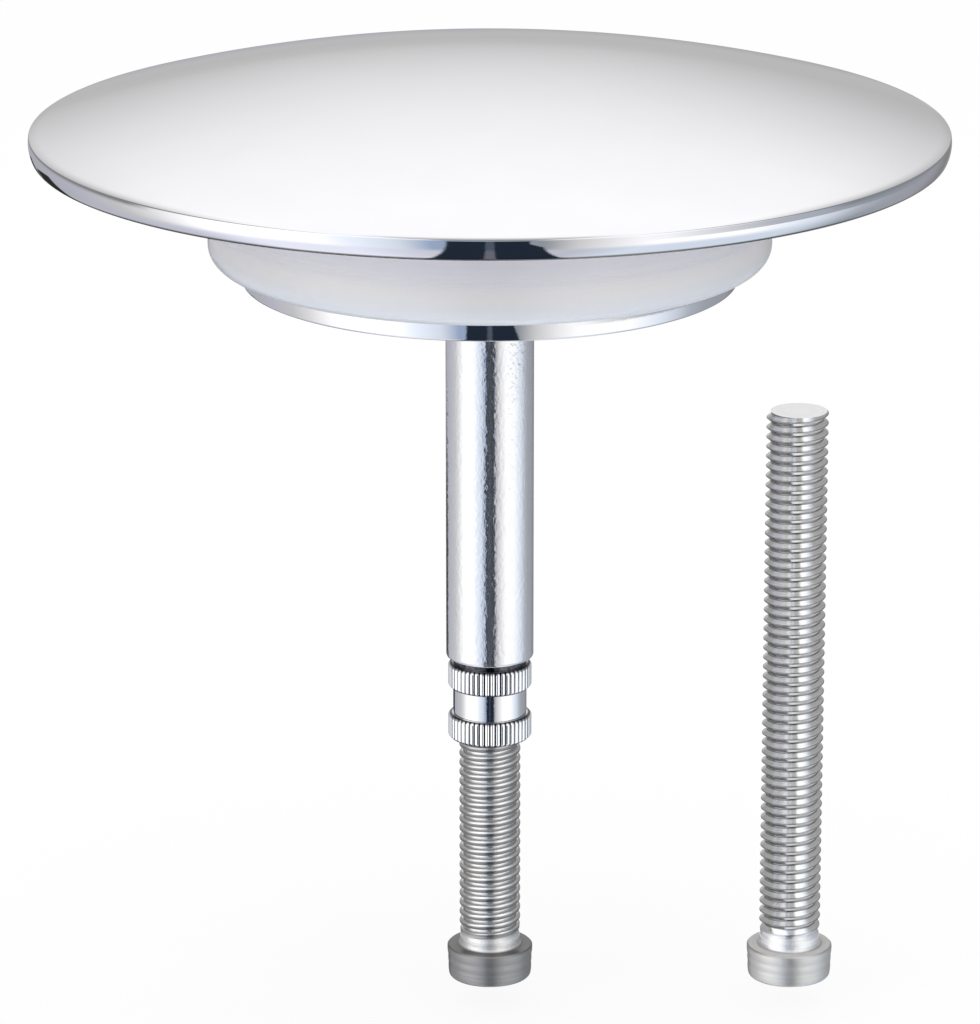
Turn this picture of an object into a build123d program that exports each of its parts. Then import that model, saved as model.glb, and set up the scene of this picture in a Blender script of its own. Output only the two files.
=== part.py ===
from build123d import *
import os
from math import cos, pi, sin, sqrt

# Drain stopper, in millimetres. The origin is on the stem's axis, at the underside of the
# seal retainer. +Z points up, through the lid. The adjusting screw's head is the lowest point.

# Lid: a dished disc pressed from sheet
lid_d = 72.0
lid_rise = 5.2                  # apex above the rim's upper edge
lid_wall = 1.6
lid_rim_height = 1.6
lid_rim_bulge = 0.2             # how far the rim's edge swells past its upper edge
lid_rim_draw_in = 0.3           # how far its lower edge lies inside its upper edge
lid_rim_land = 0.75             # flat ring on which the rim ends below
lid_rim_rounding = 0.22

# Seal: a silicone cup that closes the drain's opening
seal_d = 44.3
seal_corner = 1.45
seal_wall = 2.4
seal_web = 2.2
seal_lip_rounding = 0.6
seal_inner_rounding = 1.2
seal_lid_gap = 0.3

# Retainer: the disc below the seal
retainer_d = 39.0
retainer_thickness = 1.64
retainer_edge = 0.2

# Screw thread, the metric coarse thread of 5 mm
thread_d = 4.94                 # over the crests of a cut thread
thread_root_d = 4.14
thread_pitch = 0.8
tip_cut_shares = (0.65, 0.25)   # parts of the thread's depth that the last rings lose
thread_clearance = 0.08         # radial, to the plain bores that stand for nut threads
shank_clearance = 0.15          # radial, where the stud passes through seal and retainer

# Lid stud: turned, brazed under the lid
stud_flange_d = 16.0
stud_flange_thickness = 2.0
stud_body_d = 10.0
stud_body_height = 11.7
stud_insert = 6.0               # how far it is screwed into the stem
braze_gap = 0.05

# Stem: the tube that slides in the drain's guide
stem_d = 7.0
stem_length = 31.3
stem_end_rounding = 0.35

# Lock nut: two knurled rings joined by a plain waist
nut_gap = 0.05                  # running gap to the stem's end
nut_land_d = 5.9
nut_land_height = 0.41
nut_ring_d = 6.7
nut_ring_height = 2.0
nut_waist = 2.24
nut_waist_d = 5.9
nut_edge = 0.15
knurl_count = 48
knurl_depth = 0.24
knurl_groove_share = 0.38       # part of a tooth's pitch that the groove takes
knurl_crown = 0.05              # how far a tooth's crest bulges over its shoulders

# Screws: the fitted one and the longer spare
screw_exposed = 17.9            # thread that shows between nut and head
screw_length = 30.0             # under the head
spare_length = 45.0
head_d = 6.9
head_foot_d = 6.66
head_height = 2.7
head_band_shares = (0.42, 0.66, 1)  # heights at which the side's three turned bands end
head_groove_depth = 0.03
head_bulge = 0.06
head_edge = 0.12
head_foot_rounding = 0.3
neck_height = 0.75
neck_step = 0.03                # how far the neck stands past the thread's crests
neck_flare_d = 5.3
neck_flare_height = 0.3
socket_across_flats = 2.5
socket_depth = 1.4
cut_crest_share = 0.07          # part of the pitch along the crest, cut thread
cut_root_share = 0.10
spare_place_x = 24.4            # where the spare screw stands, beside the stem

# One overrun for every cut, and how near a searched edge has to be to the place asked for
overrun = 1.0
edge_match = 0.01

# Heights, worked out from the retainer upwards and from the stem downwards
retainer_top_z = retainer_thickness
seal_web_top_z = retainer_top_z + seal_web
lid_under_z = seal_web_top_z + stud_body_height + braze_gap
lid_apex_z = lid_under_z + lid_wall
lid_rim_top_z = lid_apex_z - lid_rise
lid_rim_low_z = lid_rim_top_z - lid_rim_height
nut_top_z = -stem_length - nut_gap
nut_height = nut_land_height + nut_ring_height + nut_waist + nut_ring_height
nut_foot_z = nut_top_z - nut_height
head_top_z = nut_foot_z - screw_exposed
head_foot_z = head_top_z - head_height

# Radii of the lid's rim
rim_top_r = lid_d / 2 - lid_rim_bulge / 2
rim_low_r = rim_top_r - lid_rim_draw_in
rim_land_r = rim_low_r - lid_rim_land

thread_r = thread_d / 2
thread_root_r = thread_root_d / 2
bore_r = thread_r + thread_clearance
shank_hole_r = thread_r + shank_clearance
neck_r = thread_r + neck_step


def cap_radius(chord_r, rise):
    """Radius of the sphere whose cap has this half chord and rise."""
    return (chord_r ** 2 + rise ** 2) / (2 * rise)


def cap_z(apex_z, sphere_r, r):
    """Height of a spherical cap at distance r from its axis."""
    return apex_z - sphere_r + sqrt(sphere_r ** 2 - r ** 2)


dome_sphere_r = cap_radius(rim_top_r, lid_rise)
under_sphere_r = cap_radius(rim_land_r, lid_under_z - lid_rim_low_z)


def turned(outline):
    """Solid of revolution about Z from the lines of a closed outline in the XZ plane."""
    return revolve(make_face(outline), Axis.Z)


def bore(radius, low_z, high_z):
    """Cutter for a round hole along the axis, run past both ends."""
    length = high_z - low_z + 2 * overrun
    return Pos(0, 0, low_z - overrun) * extrude(Circle(radius), length)


def edges_at(solid, r, z):
    """Circular edges of this radius at this height."""
    found = []
    for edge in solid.edges().filter_by(GeomType.CIRCLE):
        rise = edge.center(CenterOf.GEOMETRY).Z - z
        if abs(edge.radius - r) < edge_match and abs(rise) < edge_match:
            found.append(edge)
    return found


def make_lid():
    """Dished disc with a swollen, rounded edge, open below."""
    dome_mid = rim_top_r / 2
    under_mid = rim_land_r / 2
    apex = (0, 0, lid_apex_z)
    rim_top = (rim_top_r, 0, lid_rim_top_z)
    rim_swell = (lid_d / 2, 0, lid_rim_top_z - lid_rim_height / 3)
    rim_low = (rim_low_r, 0, lid_rim_low_z)
    rim_land = (rim_land_r, 0, lid_rim_low_z)
    under = (0, 0, lid_under_z)
    outline = [
        ThreePointArc(apex, (dome_mid, 0, cap_z(lid_apex_z, dome_sphere_r, dome_mid)), rim_top),
        ThreePointArc(rim_top, rim_swell, rim_low),
        Line(rim_low, rim_land),
        ThreePointArc(rim_land, (under_mid, 0, cap_z(lid_under_z, under_sphere_r, under_mid)), under),
        Line(under, apex),
    ]
    lid = turned(outline)
    lower = edges_at(lid, rim_low_r, lid_rim_low_z) + edges_at(lid, rim_land_r, lid_rim_low_z)
    return fillet(lower, lid_rim_rounding)


def make_lid_stud():
    """Stud under the lid: dished flange, plain body and threaded shank."""
    flange_r = stud_flange_d / 2
    body_r = stud_body_d / 2
    top_z = lid_under_z - braze_gap
    sphere_r = under_sphere_r
    edge_z = cap_z(top_z, sphere_r, flange_r)
    mid_r = flange_r / 2
    top = (0, 0, top_z)
    edge = (flange_r, 0, edge_z)
    outline = [
        ThreePointArc(top, (mid_r, 0, cap_z(top_z, sphere_r, mid_r)), edge),
        Polyline(
            edge,
            (flange_r, 0, edge_z - stud_flange_thickness),
            (body_r, 0, edge_z - stud_flange_thickness),
            (body_r, 0, seal_web_top_z),
            (0, 0, seal_web_top_z),
            top,
        ),
    ]
    shank = threaded_shank(seal_web_top_z + stud_insert, True)
    hung = Pos(0, 0, seal_web_top_z) * Rot(180, 0, 0) * shank
    return turned(outline) + hung


def make_seal_ring():
    """Silicone cup: flat web on the retainer, upright wall, rounded lower corner."""
    outer_r = seal_d / 2
    inner_r = outer_r - seal_wall
    foot_z = retainer_top_z
    top_z = cap_z(lid_under_z, under_sphere_r, outer_r) - seal_lid_gap
    outline = Polyline(
        (shank_hole_r, 0, foot_z),
        (outer_r, 0, foot_z),
        (outer_r, 0, top_z),
        (inner_r, 0, top_z),
        (inner_r, 0, seal_web_top_z),
        (shank_hole_r, 0, seal_web_top_z),
        close=True,
    )
    ring = turned(outline)
    ring = fillet(edges_at(ring, outer_r, foot_z), seal_corner)
    ring = fillet(edges_at(ring, inner_r, seal_web_top_z), seal_inner_rounding)
    lips = edges_at(ring, outer_r, top_z) + edges_at(ring, inner_r, top_z)
    return fillet(lips, seal_lip_rounding)


def make_seal_retainer():
    """Plated disc under the seal, with a hole for the stud."""
    radius = retainer_d / 2
    disc = extrude(Circle(radius), retainer_thickness)
    disc = fillet(edges_at(disc, radius, 0) + edges_at(disc, radius, retainer_top_z), retainer_edge)
    return disc - bore(shank_hole_r, 0, retainer_top_z)


def make_stem():
    """Tube between retainer and nut, open right through."""
    radius = stem_d / 2
    tube = Pos(0, 0, -stem_length) * extrude(Circle(radius), stem_length)
    tube = fillet(edges_at(tube, radius, -stem_length), stem_end_rounding)
    return tube - bore(bore_r, -stem_length, 0)


def knurl_outline():
    """Closed outline of a straight knurl: crowned teeth and V grooves."""
    tip_r = nut_ring_d / 2
    shoulder_r = tip_r - knurl_crown
    root_r = tip_r - knurl_depth
    pitch_angle = 2 * pi / knurl_count
    crest_half = pitch_angle * (1 - knurl_groove_share) / 2
    lines = []
    for tooth in range(knurl_count):
        middle = tooth * pitch_angle
        start = polar(shoulder_r, middle - crest_half)
        end = polar(shoulder_r, middle + crest_half)
        root = polar(root_r, middle + pitch_angle / 2)
        following = polar(shoulder_r, middle + pitch_angle - crest_half)
        lines.append(ThreePointArc(start, polar(tip_r, middle), end))
        lines.append(Line(end, root))
        lines.append(Line(root, following))
    return lines


def polar(radius, angle):
    """Point in the XY plane."""
    return (radius * cos(angle), radius * sin(angle))


def knurled_ring():
    """One bored, knurled ring on z = 0, its teeth chamfered at both ends."""
    height = nut_ring_height
    end_r = nut_ring_d / 2 - nut_edge
    chamfer_run = 2 * nut_edge
    wide_r = end_r + chamfer_run
    teeth = extrude(make_face(knurl_outline()), height)
    outline = Polyline(
        (0, 0, 0),
        (end_r, 0, 0),
        (wide_r, 0, chamfer_run),
        (wide_r, 0, height - chamfer_run),
        (end_r, 0, height),
        (0, 0, height),
        close=True,
    )
    return (teeth & turned(outline)) - bore(bore_r, 0, height)


def make_lock_nut():
    """Nut with a narrow land against the stem, two knurled rings and a plain waist."""
    ring = knurled_ring()
    waist_foot_z = nut_foot_z + nut_ring_height
    upper_foot_z = waist_foot_z + nut_waist
    land_foot_z = upper_foot_z + nut_ring_height
    waist = Pos(0, 0, waist_foot_z) * extrude(Circle(nut_waist_d / 2) - Circle(bore_r), nut_waist)
    land = Pos(0, 0, land_foot_z) * extrude(Circle(nut_land_d / 2) - Circle(bore_r), nut_land_height)
    lower = Pos(0, 0, nut_foot_z) * ring
    upper = Pos(0, 0, upper_foot_z) * ring
    return lower + waist + upper + land


def thread_rings(foot_z, count, rolled):
    """Outline of a thread, drawn as one ring to each pitch, from its foot up to a tapered tip."""
    depth = thread_r - thread_root_r
    crest_half = thread_pitch * cut_crest_share / 2
    root_half = thread_pitch * cut_root_share / 2
    lines = []
    for ring in range(count):
        low = foot_z + ring * thread_pitch
        middle = low + thread_pitch / 2
        high = low + thread_pitch
        rings_above = count - 1 - ring
        cut_share = tip_cut_shares[rings_above] if rings_above < len(tip_cut_shares) else 0
        crest_r = thread_r - depth * cut_share
        shoulder_r = (crest_r + thread_root_r) / 2
        if rolled:
            lower = (shoulder_r, 0, middle - thread_pitch / 4)
            upper = (shoulder_r, 0, middle + thread_pitch / 4)
            lines.append(Line((thread_root_r, 0, low), lower))
            lines.append(ThreePointArc(lower, (crest_r, 0, middle), upper))
            lines.append(Line(upper, (thread_root_r, 0, high)))
        else:
            lines.append(
                Polyline(
                    (thread_root_r, 0, low),
                    (thread_root_r, 0, low + root_half),
                    (crest_r, 0, middle - crest_half),
                    (crest_r, 0, middle + crest_half),
                    (thread_root_r, 0, high - root_half),
                    (thread_root_r, 0, high),
                )
            )
    return lines


def threaded_shank(length, rolled):
    """Shank from z = 0 up: a short plain foot, then whole rings of thread to the tip."""
    count = int(length / thread_pitch)
    thread_foot_z = length - count * thread_pitch
    foot = Polyline((0, 0, 0), (neck_r, 0, 0), (neck_r, 0, thread_foot_z), (thread_root_r, 0, thread_foot_z))
    tip = Polyline((thread_root_r, 0, length), (0, 0, length), (0, 0, 0))
    return turned([foot] + thread_rings(thread_foot_z, count, rolled) + [tip])


def screw_head():
    """Head on z = 0 with its neck: tapered side with two fine turned lines, hexagon socket below."""
    foot_r = head_foot_d / 2
    top_r = head_d / 2
    bend = head_foot_rounding * (1 - cos(pi / 4))
    neck_top_z = head_height + neck_height
    foot_rim = (foot_r - head_foot_rounding, 0, 0)
    corner = (foot_r, 0, head_foot_rounding)
    lines = [
        Line((0, 0, 0), foot_rim),
        ThreePointArc(foot_rim, (foot_r - bend, 0, bend), corner),
    ]
    for share in head_band_shares:
        is_top = share == 1
        inset = 0 if is_top else head_groove_depth
        edge = head_edge if is_top else 0
        following = (foot_r + (top_r - foot_r) * share - inset, 0, head_height * share - edge)
        swell = ((corner[0] + following[0]) / 2 + head_bulge / 2, 0, (corner[2] + following[2]) / 2)
        lines.append(ThreePointArc(corner, swell, following))
        corner = following
    lines.append(
        Polyline(
            corner,
            (top_r - head_edge, 0, head_height),
            (neck_flare_d / 2, 0, head_height),
            (neck_r, 0, head_height + neck_flare_height),
            (neck_r, 0, neck_top_z),
            (0, 0, neck_top_z),
            (0, 0, 0),
        )
    )
    hexagon = RegularPolygon(socket_across_flats / 2, 6, major_radius=False)
    socket = Pos(0, 0, -overrun) * extrude(hexagon, socket_depth + overrun)
    return turned(lines) - socket


def make_screw(length, rolled):
    """Whole screw standing on its head at z = 0."""
    shank = threaded_shank(length - neck_height, rolled)
    return screw_head() + Pos(0, 0, head_height + neck_height) * shank


def make_adjusting_screw():
    """Screw fitted in the stem, with a rolled thread."""
    return Pos(0, 0, head_foot_z) * make_screw(screw_length, True)


def make_spare_screw():
    """Longer screw with a cut thread, standing beside the stopper on the same level."""
    return Pos(spare_place_x, 0, head_foot_z) * make_screw(spare_length, False)


makers = {
    "lid": make_lid,
    "lid_stud": make_lid_stud,
    "seal_ring": make_seal_ring,
    "seal_retainer": make_seal_retainer,
    "stem": make_stem,
    "lock_nut": make_lock_nut,
    "adjusting_screw": make_adjusting_screw,
    "spare_screw": make_spare_screw,
}

os.makedirs("parts", exist_ok=True)
for name, maker in makers.items():
    piece = maker()
    export_step(piece, f"parts/{name}.step")
    print(name, round(piece.volume, 2))
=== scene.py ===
"""Looks of a drain stopper: chrome lid, silicone seal, retainer, stem, knurled nut and two screws."""

from functools import reduce
from math import atan2, ceil, cos, hypot, pi, radians, sin, sqrt, tan

import bmesh
import bpy
from bpy.props import FloatProperty, FloatVectorProperty, IntProperty, PointerProperty
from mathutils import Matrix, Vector


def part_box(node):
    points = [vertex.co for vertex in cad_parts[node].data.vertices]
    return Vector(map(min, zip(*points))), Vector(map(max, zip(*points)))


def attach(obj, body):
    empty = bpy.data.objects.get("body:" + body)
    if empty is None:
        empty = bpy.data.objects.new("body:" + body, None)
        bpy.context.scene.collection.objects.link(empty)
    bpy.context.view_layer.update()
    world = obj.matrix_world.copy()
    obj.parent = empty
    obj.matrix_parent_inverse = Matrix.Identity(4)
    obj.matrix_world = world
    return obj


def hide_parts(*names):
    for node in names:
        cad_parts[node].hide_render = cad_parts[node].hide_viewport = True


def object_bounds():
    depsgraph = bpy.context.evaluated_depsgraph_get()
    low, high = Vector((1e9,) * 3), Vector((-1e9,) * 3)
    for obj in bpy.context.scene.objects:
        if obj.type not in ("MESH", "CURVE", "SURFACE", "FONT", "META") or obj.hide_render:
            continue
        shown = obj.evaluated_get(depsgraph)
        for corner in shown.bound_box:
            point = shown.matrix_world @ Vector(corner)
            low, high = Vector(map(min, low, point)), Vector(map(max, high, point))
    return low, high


bl_info = {
    "name": "Drain stopper",
    "version": (1, 0, 0),
    "blender": (4, 5, 0),
    "location": "3D View > Sidebar > Drain stopper",
    "description": "Builds the pieces, finishes and studio of a drain stopper round its CAD frame",
    "category": "Add Mesh",
}

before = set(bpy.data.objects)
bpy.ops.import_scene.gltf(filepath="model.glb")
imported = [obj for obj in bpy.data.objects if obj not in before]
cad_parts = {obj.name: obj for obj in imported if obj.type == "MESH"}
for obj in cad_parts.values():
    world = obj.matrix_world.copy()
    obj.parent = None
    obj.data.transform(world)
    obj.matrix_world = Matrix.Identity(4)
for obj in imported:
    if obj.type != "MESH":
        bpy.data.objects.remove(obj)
cad_low, cad_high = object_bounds()
lid_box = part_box("lid")
seal_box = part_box("seal_ring")
retainer_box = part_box("seal_retainer")
stem_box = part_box("stem")
nut_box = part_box("lock_nut")
screw_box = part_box("adjusting_screw")
spare_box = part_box("spare_screw")

MM = 0.001
GRAIN_DEPTH = 0.01 * MM


def distance(name, millimetres, note):
    """A length that a user can change: given in millimetres, kept in metres."""
    length = millimetres * MM
    return FloatProperty(name=name, description=note, default=length, min=0, unit="LENGTH", precision=5)


def paint(name, default, note):
    """A linear colour that a user can change."""
    return FloatVectorProperty(
        name=name, description=note, default=default, size=3, min=0, max=1, subtype="COLOR"
    )


class LidSizes(bpy.types.PropertyGroup):
    """Sizes of the dished lid."""

    rise: distance("Rise", 5.2, "Apex above the rim's upper edge")
    wall: distance("Wall", 1.6, "Thickness of the sheet at the middle")
    rim_height: distance("Rim height", 1.6, "Height of the rim's side")
    rim_bulge: distance("Rim bulge", 0.2, "Swell of the rim past its upper edge")
    rim_draw_in: distance("Rim draw-in", 0.3, "Lower edge of the rim inside its upper one")
    rim_land: distance("Rim land", 0.75, "Width of the flat ring under the rim")
    rim_rounding: distance("Rim rounding", 0.16, "Rounding of the rim's edges")
    # Painted shade: a dark line painted round the rim's foot, where the rim's lower edge falls into shade.
    rim_shade: distance("Rim shade height", 0.17, "Height of the burnt line at the rim's foot")
    rim_shade_fade: distance("Rim shade fade", 0.09, "Fade above the burnt line")


class SealSizes(bpy.types.PropertyGroup):
    """Sizes of the silicone cup and the disc that holds it."""

    corner: distance("Corner", 1.45, "Rounding of the seal's lower corner")
    wall: distance("Wall", 2.4, "Thickness of the upright wall")
    web: distance("Web", 2.2, "Thickness of the flat web")
    lip_rounding: distance("Lip rounding", 0.6, "Rounding of the upper lip")
    inner_rounding: distance("Inner rounding", 1.2, "Rounding inside the cup")
    bead_low: distance("Bead foot", 3.6, "Height where the faint bead starts")
    bead_high: distance("Bead top", 6.4, "Height where the faint bead ends")
    bead_depth: distance("Bead depth", 0.05, "Depth of the faint bead")
    disc_edge: distance("Disc edge", 0.18, "Rounding of the retainer's edges")
    hole: distance("Hole", 2.62, "Radius of the holes for the stud")


class StemSizes(bpy.types.PropertyGroup):
    """Sizes of the stem's tube."""

    end_rounding: distance("End rounding", 0.35, "Rounding of the lower edge")
    bore: distance("Bore", 2.55, "Radius of the bore through stem and nut")


class NutSizes(bpy.types.PropertyGroup):
    """Sizes of the knurled lock nut."""

    tip: distance("Tooth tip", 3.35, "Radius over the teeth")
    groove: distance("Groove", 0.24, "Depth of the grooves between teeth")
    crown: distance("Crown", 0.05, "Bulge of a tooth's crest")
    waist: distance("Waist", 2.95, "Radius of the plain waist")
    land: distance("Land", 0.41, "Height of the narrow land under the stem")
    ring_height: distance("Ring height", 2.0, "Height of each knurled ring")
    edge: distance("Edge", 0.2, "Chamfer at each end of the teeth")
    teeth: IntProperty(name="Teeth", description="Teeth round the nut", default=48, min=12, max=96)


class ScrewSizes(bpy.types.PropertyGroup):
    """Sizes that both screws share."""

    crest: distance("Crest", 2.47, "Radius over the thread's crests")
    root: distance("Root", 2.06, "Radius at the thread's roots")
    pitch: distance("Pitch", 0.8, "Rise of the thread in one turn")
    head_height: distance("Head height", 2.7, "Height of the head")
    head_foot: distance("Head foot", 3.33, "Radius of the head at its foot")
    head_rounding: distance("Foot rounding", 0.3, "Rounding of the head's lower edge")
    head_edge: distance("Head edge", 0.12, "Chamfer of the head's upper edge")
    line_depth: distance("Turned line", 0.03, "Depth of the two lines round the head")
    neck: distance("Neck", 2.42, "Radius of the neck over the head")
    neck_height: distance("Neck height", 0.75, "Height of the neck")
    neck_flare: distance("Neck flare", 0.33, "Flare of the neck onto the head")
    flare_height: distance("Flare height", 0.42, "Height of that flare")
    socket_flats: distance("Socket", 2.5, "Hexagon socket, across its flats")
    socket_depth: distance("Socket depth", 1.4, "Depth of the socket")
    run_out: FloatProperty(name="Run-out", description="Turns of fading thread", default=1.7, min=0.1)
    start_share: FloatProperty(
        name="Thread start", description="Where round its tip the spare's thread starts", default=0.64, max=1
    )


class Finishes(bpy.types.PropertyGroup):
    """Colours of the finishes."""

    chrome: paint("Chrome", (0.73, 0.73, 0.75), "Polished plating")
    # Painted shade: colour of the dark line painted at the rim's foot.
    rim_shade: paint("Rim shade colour", (0.16, 0.16, 0.16), "Lower edge of the lid's rim")
    teeth: paint("Teeth", (0.95, 0.95, 0.95), "Worn crests of the nut's teeth")
    # Painted shade for the nut's grooves and the gap under the stem.
    recess_shade: paint("Recess shade", (0.012, 0.012, 0.022), "Painted shade in grooves and gaps")
    silicone: paint("Silicone", (0.7, 0.7, 0.76), "Milky silicone of the seal")
    silicone_warm: paint("Silicone streak", (0.77, 0.76, 0.76), "Its warmer streaks")
    # Painted shade and painted light on the seal: bluish shade at the foot, and a paler lip that makes up for
    # the lid's shadow.
    silicone_foot_shade: paint("Silicone foot shade", (0.65, 0.69, 0.75), "Painted bluish shade near the retainer")
    silicone_lip_light: paint("Silicone lip light", (0.84, 0.84, 0.84), "Painted light under the lid")
    screw_steel: paint("Screw steel", (0.88, 0.87, 0.86), "Thread of the fitted screw")
    screw_head_steel: paint("Screw head steel", (0.34, 0.335, 0.33), "Head of the fitted screw")
    spare_steel: paint("Spare steel", (0.95, 0.945, 0.94), "Thread of the spare screw")
    spare_head_steel: paint("Spare head steel", (0.66, 0.65, 0.63), "Head of the spare screw")
    brass: paint("Brass", (0.72, 0.52, 0.24), "Stud under the lid")
    floor: paint("Floor", (0.95, 0.95, 0.95), "Pale floor of the studio")


class StudioSizes(bpy.types.PropertyGroup):
    """Where the camera stands and how far the studio reaches."""

    camera_distance: distance("Camera distance", 433.3, "From the stem's axis to the camera")
    camera_height: distance("Camera height", 111.4, "Height over the part's origin")
    camera_side: distance("Camera side", 0.01, "Shift to the right of the axis")
    camera_pitch: FloatProperty(
        name="Camera pitch", description="Angle of looking down", default=radians(16.78), subtype="ANGLE"
    )
    lens: FloatProperty(name="Lens", description="Focal length in millimetres", default=199.7, min=1)
    floor_size: distance("Floor size", 3000, "Side of the square floor")
    floor_drop: distance("Floor drop", 2.5, "Room under the screw head for turning it out")
    lamp_size: distance("Lamp size", 500, "Side of each square lamp")


def sizes():
    """The settings that the operators read."""
    return bpy.context.scene.drain_stopper


def arc(start, middle, end, steps):
    """Points of the circular arc through three points, without its start."""
    (x1, y1), (x2, y2), (x3, y3) = start, middle, end
    twice = 2 * (x1 * (y2 - y3) + x2 * (y3 - y1) + x3 * (y1 - y2))
    s1, s2, s3 = x1 * x1 + y1 * y1, x2 * x2 + y2 * y2, x3 * x3 + y3 * y3
    cx = (s1 * (y2 - y3) + s2 * (y3 - y1) + s3 * (y1 - y2)) / twice
    cy = (s1 * (x3 - x2) + s2 * (x1 - x3) + s3 * (x2 - x1)) / twice
    radius = hypot(x1 - cx, y1 - cy)
    first = atan2(y1 - cy, x1 - cx)
    through, sweep = ((atan2(y - cy, x - cx) - first) % (2 * pi) for x, y in (middle, end))
    if through > sweep:
        sweep -= 2 * pi
    angles = [first + sweep * step / steps for step in range(1, steps + 1)]
    return [(cx + radius * cos(angle), cy + radius * sin(angle)) for angle in angles]


def rounded(corners, steps=8):
    """Outline of (r, z, rounding) corners, with each rounding drawn as an arc."""
    outline = []
    count = len(corners)
    for index, (r, z, rounding) in enumerate(corners):
        here = Vector((r, z))
        if not rounding:
            outline.append(tuple(here))
            continue
        before = (Vector(corners[index - 1][:2]) - here).normalized()
        after = (Vector(corners[(index + 1) % count][:2]) - here).normalized()
        half = before.angle(after) / 2
        reach = rounding / tan(half)
        centre = here + (before + after).normalized() * rounding / sin(half)
        start = here + before * reach
        end = here + after * reach
        middle = centre + (here - centre).normalized() * rounding
        outline.append(tuple(start))
        outline.extend(arc(start, middle, end, steps))
    return outline


def deselect():
    """Leave object mode with nothing selected."""
    if bpy.context.object and bpy.context.object.mode == "EDIT":
        bpy.ops.object.mode_set(mode="OBJECT")
    bpy.ops.object.select_all(action="DESELECT")


def select(piece):
    """Make a piece the active one and the only one selected."""
    deselect()
    piece.select_set(True)
    bpy.context.view_layer.objects.active = piece


def edit_all():
    """Edit the active piece with everything on it selected."""
    bpy.ops.object.mode_set(mode="EDIT")
    bpy.ops.mesh.select_all(action="SELECT")


def draw_outline(name, outline):
    """One chain of edges in the XZ plane, drawn by extruding a vertex from point to point."""
    deselect()
    first_r, first_z = outline[0]
    bpy.ops.mesh.primitive_plane_add(size=MM, location=(first_r, 0, first_z))
    piece = bpy.context.object
    piece.name = name
    bpy.ops.object.transform_apply(location=True)
    edit_all()
    bpy.ops.mesh.merge(type="CENTER")
    for (r, z), (next_r, next_z) in zip(outline, outline[1:]):
        bpy.ops.mesh.extrude_vertices_move(TRANSFORM_OT_translate={"value": (next_r - r, 0, next_z - z)})
    bpy.ops.object.mode_set(mode="OBJECT")
    return piece


def apply_modifier(piece, modifier):
    """Make a modifier's result the piece's own mesh."""
    bpy.context.view_layer.objects.active = piece
    bpy.ops.object.modifier_apply(modifier=modifier.name)


def tidy_shell(piece, gap=0.0005 * MM):
    """Merge doubles and turn every face outwards."""
    select(piece)
    edit_all()
    bpy.ops.mesh.remove_doubles(threshold=gap)
    bpy.ops.mesh.dissolve_degenerate(threshold=gap)
    bpy.ops.mesh.normals_make_consistent(inside=False)
    bpy.ops.object.mode_set(mode="OBJECT")


def turn(piece, sides, rise=0.0, turns=1):
    """Sweep an outline round the axis: a lathe, or a screw thread where it rises."""
    sweep = piece.modifiers.new("turned", "SCREW")
    sweep.axis = "Z"
    sweep.angle = 2 * pi
    sweep.steps = sides
    sweep.render_steps = sides
    sweep.screw_offset = rise
    sweep.iterations = turns
    apply_modifier(piece, sweep)
    tidy_shell(piece)


def lathe(name, outline, sides=192):
    """A turned piece from its outline."""
    piece = draw_outline(name, outline)
    turn(piece, sides)
    return piece


def closed(outline):
    """The outline, ended at its own start."""
    return outline + [outline[0]]


def drawn(corner, *parts):
    """Outline from its first corner through straight ends, (r, z), and arcs, (middle, end, steps)."""
    outline = [corner]
    for part in parts:
        is_arc = len(part) == 3
        outline += arc(corner, *part) if is_arc else [part]
        corner = part[1] if is_arc else part
    return outline


def ring_outline(hole, box, low_rounding, high_rounding, steps):
    """Section of a plain ring: a hole in a box, with its two outer edges rounded."""
    low, high = box
    corners = [
        (hole, low.z, 0),
        (high.x, low.z, low_rounding),
        (high.x, high.z, high_rounding),
        (hole, high.z, 0),
    ]
    return closed(rounded(corners, steps))


def smooth(piece, sharp_angle=radians(32)):
    """Shade a piece smoothly, with its real edges kept crisp."""
    select(piece)
    bpy.ops.object.shade_smooth_by_angle(angle=sharp_angle)


def finish_piece(piece, node, body, material):
    """Dress a piece, set it on its body and let it stand for its CAD node."""
    smooth(piece)
    piece.data.materials.clear()
    piece.data.materials.append(material)
    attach(piece, body)
    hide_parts(node)


def cut_level(piece, height, keep_above):
    """Cut a piece level at a height and close it there."""
    select(piece)
    edit_all()
    bpy.ops.mesh.bisect(
        plane_co=(0, 0, height),
        plane_no=(0, 0, 1),
        use_fill=True,
        clear_inner=keep_above,
        clear_outer=not keep_above,
        threshold=0.0001 * MM,
    )
    bpy.ops.object.mode_set(mode="OBJECT")


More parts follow.
